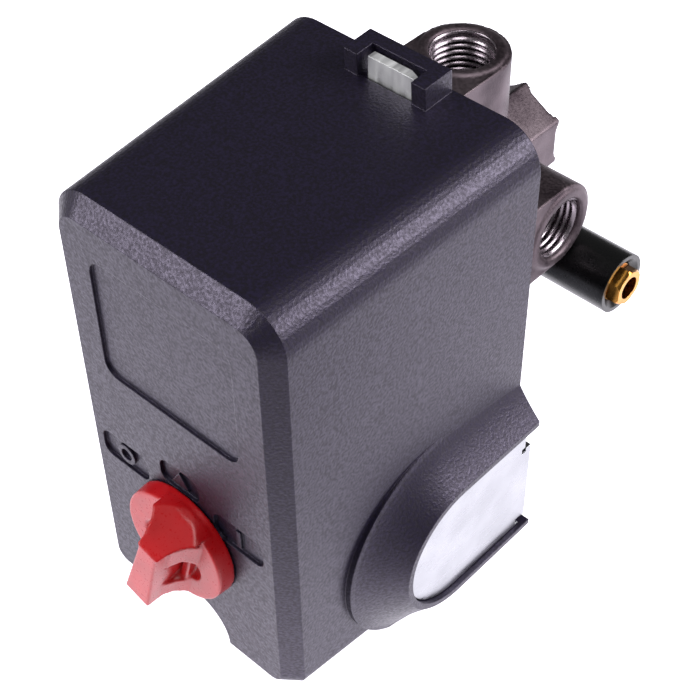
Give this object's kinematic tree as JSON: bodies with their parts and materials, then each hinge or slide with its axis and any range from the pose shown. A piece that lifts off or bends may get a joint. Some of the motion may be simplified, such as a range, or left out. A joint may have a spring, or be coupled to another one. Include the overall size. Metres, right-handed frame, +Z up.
{
  "type": "pressure switch",
  "caption": "Air compressor pressure switch: black moulded cover with a front selector knob, threaded port manifold behind it and a side unloader valve.",
  "frame": {"origin": "outer end of the inlet port's bore wall, on its axis", "axes": "+Y out of the inlet port, away from the knob; +Z up towards the top port; +X towards the unloader valve's outlet"},
  "size_m": [0.0782, 0.1188, 0.1171],
  "materials": {
    "cover_abs": "fine spark texture, black ABS",
    "knob_red": "semi-gloss moulded red nylon",
    "zinc_steel": "bright zinc-plated sheet steel",
    "steel": "plain turned steel",
    "spring_steel": "oiled spring wire",
    "cast_aluminium": "as-cast, fine grain, machined ports",
    "nitrile": "smooth nitrile sheet",
    "phenolic": "dark moulded phenolic",
    "acetal": "natural acetal",
    "brass": "turned brass",
    "copper_silver": "copper strip with silver buttons",
    "earth_green": "green passivated screw",
    "sleeve_black": "satin black sleeve"
  },
  "bodies": {
    "frame": {"shaft_bracket": "zinc_steel", "shaft_bush": "acetal", "detent_spring": "spring_steel", "base_plate": "zinc_steel", "side_frame": "zinc_steel", "latch_spring": "zinc_steel", "manifold": "cast_aluminium", "diaphragm": "nitrile", "flange_screws": "zinc_steel", "pivot_pin": "steel", "range_stud": "steel", "range_spring": "spring_steel", "diff_stud": "steel", "diff_spring": "spring_steel", "contact_block": "phenolic", "terminals": "brass", "terminal_screws": "zinc_steel", "block_screws": "zinc_steel", "earth_screw": "earth_green", "unloader_bracket": "zinc_steel", "bracket_screws": "zinc_steel", "crank_pin": "steel", "unloader_body": "brass", "unloader_sleeve": "sleeve_black", "unloader_nut": "brass", "unloader_spring": "spring_steel"},
    "cover": {"cover": "cover_abs"},
    "knob": {"knob": "knob_red"},
    "cam": {"cam_shaft": "steel", "cam": "acetal"},
    "lever": {"main_lever": "zinc_steel"},
    "pad": {"pressure_pad": "steel"},
    "contacts": {"contact_carrier": "acetal", "contact_bridges": "copper_silver", "contact_springs": "spring_steel"},
    "range_adjuster": {"range_nut": "steel", "range_seat": "zinc_steel"},
    "diff_adjuster": {"diff_nut": "steel"},
    "pin": {"push_pin": "acetal"},
    "crank": {"unloader_lever": "zinc_steel"},
    "plunger": {"unloader_plunger": "steel"}
  },
  "joints": [
    {"name": "cover_off", "type": "slide", "parent": "frame", "child": "cover", "axis": [0, -1, 0], "range_m": [0, 0.11], "deforming": ["latch_spring"]},
    {"name": "knob_turn", "type": "hinge", "parent": "cover", "child": "knob", "pos_m": [0.0008, -0.1087, -0.0436], "axis": [0, 1, 0], "range_deg": [-77, 42]},
    {"name": "cam_turn", "type": "hinge", "parent": "frame", "child": "cam", "pos_m": [0.0008, -0.0747, -0.0436], "axis": [0, 1, 0], "range_deg": [-77, 42]},
    {"name": "lever_rock", "type": "hinge", "parent": "frame", "child": "lever", "pos_m": [0, -0.0477, -0.0292], "axis": [1, 0, 0], "range_deg": [0, 4.5], "stiffness_Nm_per_rad": 1, "springref_deg": -2.86, "deforming": ["range_spring", "diff_spring"]},
    {"name": "pad_travel", "type": "slide", "parent": "frame", "child": "pad", "axis": [0, -1, 0], "range_m": [0, 0.0024]},
    {"name": "contact_travel", "type": "slide", "parent": "frame", "child": "contacts", "axis": [0, -1, 0], "range_m": [0, 0.0016]},
    {"name": "range_adjust", "type": "slide", "parent": "frame", "child": "range_adjuster", "axis": [0, 1, 0], "range_m": [-0.003, 0.003], "deforming": ["range_spring"]},
    {"name": "diff_adjust", "type": "slide", "parent": "frame", "child": "diff_adjuster", "axis": [0, 1, 0], "range_m": [-0.002, 0.002], "deforming": ["diff_spring"]},
    {"name": "pin_travel", "type": "slide", "parent": "frame", "child": "pin", "axis": [0, 1, 0], "range_m": [0, 0.0005]},
    {"name": "crank_turn", "type": "hinge", "parent": "frame", "child": "crank", "pos_m": [-0.0042, -0.0337, -0.0352], "axis": [0, 0, -1], "range_deg": [0, 4.1]},
    {"name": "plunger_travel", "type": "slide", "parent": "frame", "child": "plunger", "axis": [1, 0, 0], "range_m": [0, 0.0016], "deforming": ["unloader_spring"]}
  ],
  "couplings": [
    {"joint": "cam_turn", "follows": "knob_turn", "ratio": 1},
    {"joint": "pad_travel", "follows": "lever_rock", "m_per_rad": 0.0292},
    {"joint": "contact_travel", "follows": "lever_rock", "m_per_rad": 0.019},
    {"joint": "pin_travel", "follows": "lever_rock", "m_per_rad": 0.006},
    {"joint": "crank_turn", "follows": "lever_rock", "ratio": 0.8824},
    {"joint": "plunger_travel", "follows": "lever_rock", "m_per_rad": 0.01906}
  ]
}
